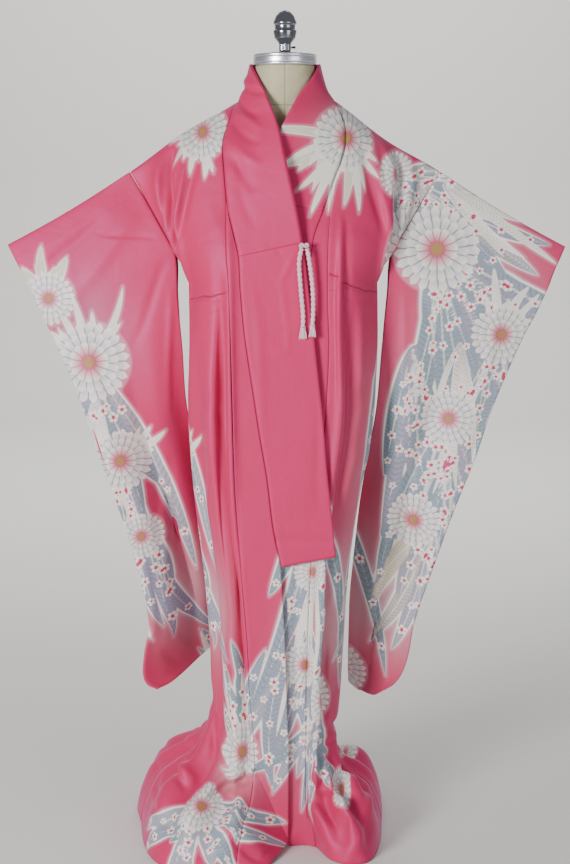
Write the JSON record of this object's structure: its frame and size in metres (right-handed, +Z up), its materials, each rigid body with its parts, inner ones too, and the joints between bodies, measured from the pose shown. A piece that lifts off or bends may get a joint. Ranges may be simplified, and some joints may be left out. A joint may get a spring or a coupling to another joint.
{
  "type": "furisode on a dress form",
  "caption": "Long-sleeved silk kimono worn on a limbless dress form, with a standing collar, braided front ties, long hanging sleeves and a hem pooled on the floor.",
  "frame": {"origin": "centre of the underside of the form's foot, on the floor", "axes": "+Z up, -Y out of the garment's front, +X towards the wearer's left"},
  "size_m": [1.1083, 0.5915, 1.6544],
  "materials": {
    "silk": "satin",
    "braid": "braided",
    "linen": "matt woven linen",
    "polished_aluminium": "polished",
    "dark_metal": "dark polished",
    "steel": "brushed",
    "iron": "black enamel"
  },
  "bodies": {
    "root": {"body_right": "silk", "body_left": "silk", "okumi_right": "silk", "okumi_left": "silk", "collar": "silk", "over_collar": "silk", "sleeve_right_front": "silk", "sleeve_right_back": "silk", "sleeve_left_front": "silk", "sleeve_left_back": "silk", "tie_right": "braid", "tie_left": "braid", "tie_end_right": "braid", "tie_end_left": "braid", "tie_knot": "braid", "dress_form": "linen", "neck_ring": "polished_aluminium", "finial": "dark_metal", "thumb_screw": "dark_metal", "pole": "steel", "base": "iron"}
  },
  "joints": []
}
